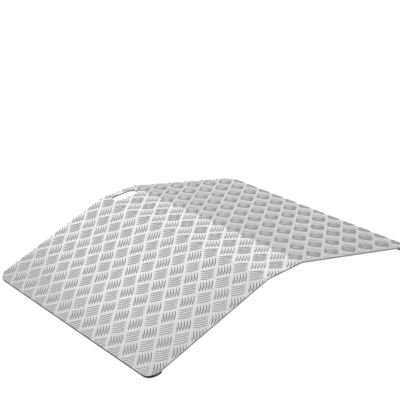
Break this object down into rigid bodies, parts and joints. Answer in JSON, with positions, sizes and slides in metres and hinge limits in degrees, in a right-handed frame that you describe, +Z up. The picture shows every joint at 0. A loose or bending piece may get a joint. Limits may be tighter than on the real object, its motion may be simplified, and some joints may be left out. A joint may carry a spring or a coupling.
{
  "type": "wheelchair threshold ramp",
  "caption": "Rigid bridging ramp bent from one sheet of aluminium tread plate, with a level crest, a hand slot and rubber grip strips, for rolling a wheelchair over a door threshold.",
  "frame": {"origin": "on the floor, under the middle of the ramp", "axes": "+Y along the way of travel, from the front edge to the rear edge; +X across the ramp, away from the hand slot; +Z up"},
  "size_m": [0.7, 0.774, 0.1041],
  "materials": {
    "tread_plate": "bare rolled five-bar tread plate, satin, with cut edges",
    "grip_rubber": "matt black sheet rubber",
    "tape_foam": "dark foam tape, seen only at its edge"
  },
  "bodies": {
    "root": {"deck_plate": "tread_plate", "front_grip_strip": "grip_rubber", "rear_grip_strip": "grip_rubber", "front_bonding_tape": "tape_foam", "rear_bonding_tape": "tape_foam"}
  },
  "joints": []
}
